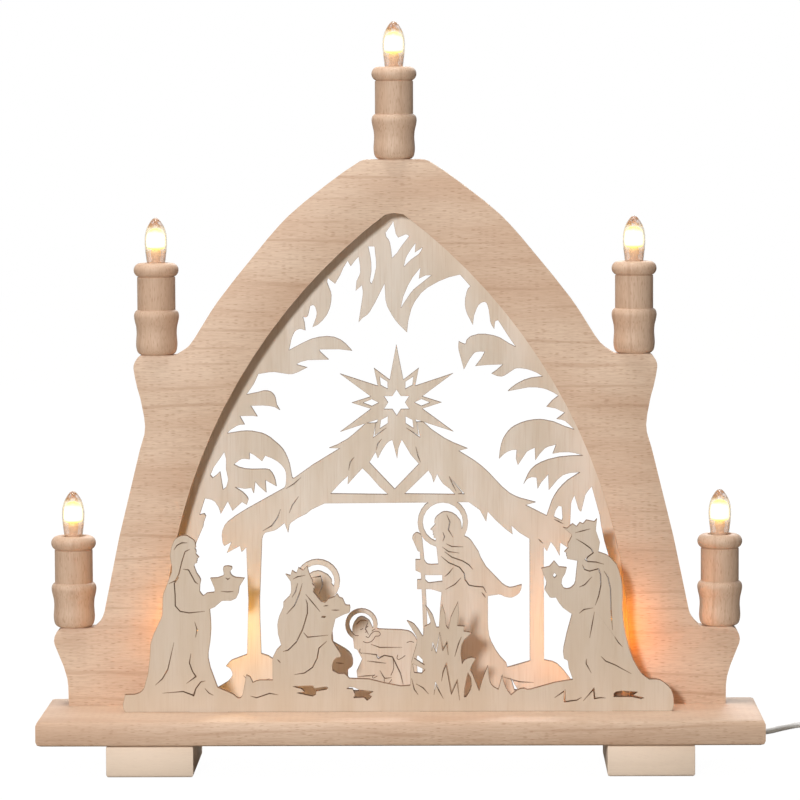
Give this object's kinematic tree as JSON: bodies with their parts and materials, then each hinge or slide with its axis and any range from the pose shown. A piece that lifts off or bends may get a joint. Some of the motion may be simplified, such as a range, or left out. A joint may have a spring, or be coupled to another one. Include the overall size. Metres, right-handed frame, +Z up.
{
  "type": "led candle arch",
  "caption": "Pointed wooden candle arch with turned sleeves, screw-in LED candle lamps, a fretwork nativity scene behind and before it, a base on feet and a mains cord with plug.",
  "frame": {"origin": "centre of the base board's outline, at the plane on which the soles of the feet stand", "axes": "+Z up, +X to the right as seen from the front, +Y to the back, where the cord leaves the base board"},
  "size_m": [0.5803, 0.2022, 0.4666],
  "materials": {
    "beech": "matte",
    "plywood": "matte, edges burnt brown by the cutting",
    "white_plastic": "satin",
    "cord_cover": "satin",
    "wire_cover": "satin",
    "cap_brass": "satin",
    "lamp_glass": "frosted",
    "led_carrier": "satin",
    "steel": "satin"
  },
  "bodies": {
    "arch": {"base_board": "beech", "foot_left": "beech", "foot_right": "beech", "arch_board": "beech", "back_fretwork": "plywood", "front_fretwork": "plywood", "sleeve_top": "beech", "sleeve_mid_left": "beech", "sleeve_low_left": "beech", "sleeve_mid_right": "beech", "sleeve_low_right": "beech", "lamp_block_inner_left": "beech", "lamp_block_inner_right": "beech", "lampholder_top": "white_plastic", "lampholder_mid_left": "white_plastic", "lampholder_low_left": "white_plastic", "lampholder_inner_left": "white_plastic", "lampholder_mid_right": "white_plastic", "lampholder_low_right": "white_plastic", "lampholder_inner_right": "white_plastic", "screw_left_inner": "steel", "screw_left_outer": "steel", "screw_right_inner": "steel", "screw_right_outer": "steel", "wire_leg_left": "wire_cover", "wire_leg_right": "wire_cover", "wire_arc_left": "wire_cover", "wire_arc_right": "wire_cover", "wire_top_left": "wire_cover", "wire_top_right": "wire_cover", "wire_supply_near": "wire_cover", "wire_supply_far": "wire_cover", "strain_relief": "white_plastic", "cord_stretch": "cord_cover", "cord_coil": "cord_cover", "cord_tie": "white_plastic", "plug_body": "white_plastic", "plug_pin_left": "steel", "plug_pin_right": "steel"},
    "lamp_top": {"lamp_cap_top": "cap_brass", "lamp_glass_top": "lamp_glass", "led_stem_top": "led_carrier"},
    "lamp_mid_left": {"lamp_cap_mid_left": "cap_brass", "lamp_glass_mid_left": "lamp_glass", "led_stem_mid_left": "led_carrier"},
    "lamp_low_left": {"lamp_cap_low_left": "cap_brass", "lamp_glass_low_left": "lamp_glass", "led_stem_low_left": "led_carrier"},
    "lamp_inner_left": {"lamp_cap_inner_left": "cap_brass", "lamp_glass_inner_left": "lamp_glass", "led_stem_inner_left": "led_carrier"},
    "lamp_mid_right": {"lamp_cap_mid_right": "cap_brass", "lamp_glass_mid_right": "lamp_glass", "led_stem_mid_right": "led_carrier"},
    "lamp_low_right": {"lamp_cap_low_right": "cap_brass", "lamp_glass_low_right": "lamp_glass", "led_stem_low_right": "led_carrier"},
    "lamp_inner_right": {"lamp_cap_inner_right": "cap_brass", "lamp_glass_inner_right": "lamp_glass", "led_stem_inner_right": "led_carrier"}
  },
  "joints": [
    {"name": "screw_lamp_top", "type": "hinge", "parent": "arch", "child": "lamp_top", "pos_m": [-0.003, 0.0275, 0.43803], "axis": [0, 0, 1], "range_deg": [0, 1260]},
    {"name": "screw_lamp_mid_left", "type": "hinge", "parent": "arch", "child": "lamp_mid_left", "pos_m": [-0.15345, 0.0275, 0.3156], "axis": [0, 0, 1], "range_deg": [0, 1260]},
    {"name": "screw_lamp_low_left", "type": "hinge", "parent": "arch", "child": "lamp_low_left", "pos_m": [-0.2075, 0.0275, 0.1429], "axis": [0, 0, 1], "range_deg": [0, 1260]},
    {"name": "screw_lamp_inner_left", "type": "hinge", "parent": "arch", "child": "lamp_inner_left", "pos_m": [-0.133, 0.005, 0.074], "axis": [0, 0, 1], "range_deg": [0, 1260]},
    {"name": "screw_lamp_mid_right", "type": "hinge", "parent": "arch", "child": "lamp_mid_right", "pos_m": [0.14745, 0.0275, 0.3156], "axis": [0, 0, 1], "range_deg": [0, 1260]},
    {"name": "screw_lamp_low_right", "type": "hinge", "parent": "arch", "child": "lamp_low_right", "pos_m": [0.2015, 0.0275, 0.1429], "axis": [0, 0, 1], "range_deg": [0, 1260]},
    {"name": "screw_lamp_inner_right", "type": "hinge", "parent": "arch", "child": "lamp_inner_right", "pos_m": [0.127, 0.005, 0.074], "axis": [0, 0, 1], "range_deg": [0, 1260]}
  ]
}
